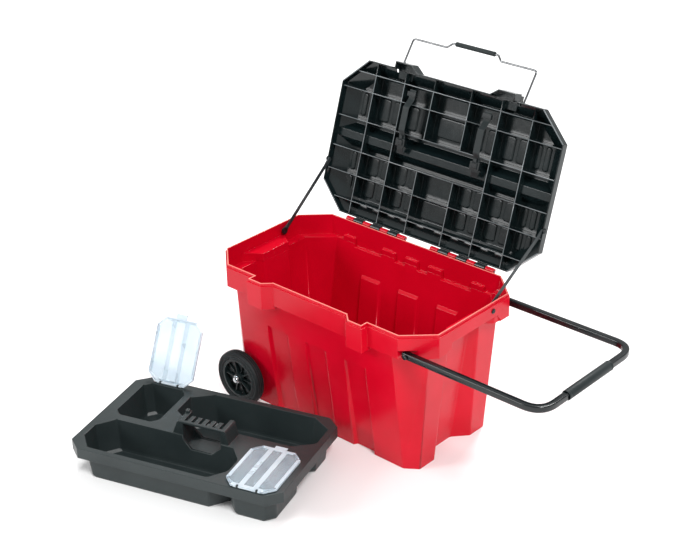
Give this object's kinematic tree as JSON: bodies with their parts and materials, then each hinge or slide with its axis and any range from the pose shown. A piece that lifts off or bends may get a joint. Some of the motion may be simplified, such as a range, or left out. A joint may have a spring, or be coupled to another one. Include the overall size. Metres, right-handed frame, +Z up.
{
  "type": "toolbox with tray",
  "caption": "Wheeled plastic tool chest with hinged lid, bail latch, lid stays, towing handle and a separate lift-out tote tray with clear-lidded organiser bins.",
  "frame": {"origin": "centre of the chest's rim in plan, on the floor", "axes": "+Z up, +X towards the towing handle with the wheels at -X, -Y towards the latch side and the tray, the lid hinges at +Y"},
  "size_m": [1.2288, 1.2402, 0.9386],
  "materials": {
    "chest_red": "moulded red plastic, satin",
    "lid_black": "moulded black plastic, fine grain",
    "tray_black": "moulded dark grey plastic, fine grain",
    "fitting_black": "black plastic fittings",
    "clear_lid": "translucent clear plastic",
    "tyre": "solid black tyre",
    "hub": "black moulded wheel",
    "grip": "black sleeve, ribbed",
    "belt": "black flexible strap",
    "stay": "dark grey flexible strap",
    "tow_tube": "black powder-coated steel tube",
    "steel": "plated steel"
  },
  "bodies": {
    "chest": {"chest_body": "chest_red", "hinge_pin_left": "steel", "hinge_pin_right": "steel", "axle": "steel", "axle_cap_front": "steel", "axle_cap_rear": "steel", "wheel_spacer_front": "fitting_black", "wheel_spacer_rear": "fitting_black", "tow_rivet_front": "tow_tube", "tow_rivet_rear": "tow_tube", "stay_left_foot_button": "fitting_black", "stay_right_foot_button": "fitting_black"},
    "lid": {"lid_shell": "lid_black", "hold_strap_left": "belt", "hold_strap_right": "belt", "hold_buckle_left": "fitting_black", "hold_buckle_right": "fitting_black", "hold_anchor_left": "fitting_black", "hold_anchor_right": "fitting_black", "stay_left_lid_button": "fitting_black", "stay_right_lid_button": "fitting_black"},
    "bail": {"bail_wire": "steel", "bail_grip": "grip"},
    "tow_handle": {"tow_tube": "tow_tube", "tow_grip": "grip", "tow_plug_front": "fitting_black", "tow_plug_rear": "fitting_black"},
    "wheel_front": {"tyre_front": "tyre", "wheel_hub_front": "hub"},
    "wheel_rear": {"tyre_rear": "tyre", "wheel_hub_rear": "hub"},
    "stay_left_low": {"stay_left_lower": "stay", "stay_left_rivet": "steel"},
    "stay_left_high": {"stay_left_upper": "stay"},
    "stay_right_low": {"stay_right_lower": "stay", "stay_right_rivet": "steel"},
    "stay_right_high": {"stay_right_upper": "stay"},
    "tray": {"tray_body": "tray_black", "bin_pin_left": "fitting_black", "bin_pin_right": "fitting_black"},
    "bin_lid_left_body": {"bin_lid_left": "clear_lid"},
    "bin_lid_right_body": {"bin_lid_right": "clear_lid"}
  },
  "joints": [
    {"name": "lid_hinge", "type": "hinge", "parent": "chest", "child": "lid", "pos_m": [0, 0.2336, 0.427], "axis": [1, 0, 0], "range_deg": [0, 108.4]},
    {"name": "bail_pivot", "type": "hinge", "parent": "lid", "child": "bail", "pos_m": [0, 0.41262, 0.83843], "axis": [1, 0, 0], "range_deg": [-125, 89]},
    {"name": "tow_pivot", "type": "hinge", "parent": "chest", "child": "tow_handle", "pos_m": [0.322, 0, 0.378], "axis": [0, -1, 0], "range_deg": [-60, 10]},
    {"name": "wheel_front_spin", "type": "hinge", "parent": "chest", "child": "wheel_front", "pos_m": [-0.285, -0.206, 0.082], "axis": [0, 1, 0], "continuous": true},
    {"name": "wheel_rear_spin", "type": "hinge", "parent": "chest", "child": "wheel_rear", "pos_m": [-0.285, 0.206, 0.082], "axis": [0, 1, 0], "continuous": true},
    {"name": "stay_left_foot", "type": "hinge", "parent": "chest", "child": "stay_left_low", "pos_m": [-0.368, 0.075, 0.413], "axis": [1, 0, 0], "range_deg": [0, 146]},
    {"name": "stay_left_elbow", "type": "hinge", "parent": "stay_left_low", "child": "stay_left_high", "pos_m": [-0.368, 0.17617, 0.48607], "axis": [1, 0, 0], "range_deg": [-183.4, 0]},
    {"name": "stay_right_foot", "type": "hinge", "parent": "chest", "child": "stay_right_low", "pos_m": [0.368, 0.075, 0.413], "axis": [1, 0, 0], "range_deg": [0, 146]},
    {"name": "stay_right_elbow", "type": "hinge", "parent": "stay_right_low", "child": "stay_right_high", "pos_m": [0.368, 0.17617, 0.48607], "axis": [1, 0, 0], "range_deg": [-183.4, 0]},
    {"name": "tray_lift", "type": "slide", "parent": "chest", "child": "tray", "axis": [0, 0, 1], "range_m": [0, 0.2]},
    {"name": "bin_lid_left_hinge", "type": "hinge", "parent": "tray", "child": "bin_lid_left_body", "pos_m": [-0.38795, -0.38459, 0.1006], "axis": [0.9527, 0.304, 0], "range_deg": [0, 120]},
    {"name": "bin_lid_right_hinge", "type": "hinge", "parent": "tray", "child": "bin_lid_right_body", "pos_m": [0.13495, -0.5956, 0.1006], "axis": [0.9527, 0.304, 0], "range_deg": [0, 120]}
  ],
  "couplings": [
    {"joint": "stay_left_foot", "follows": "lid_hinge", "ratio": 1.346},
    {"joint": "stay_left_elbow", "follows": "lid_hinge", "ratio": -1.691},
    {"joint": "stay_right_foot", "follows": "lid_hinge", "ratio": 1.346},
    {"joint": "stay_right_elbow", "follows": "lid_hinge", "ratio": -1.691}
  ]
}
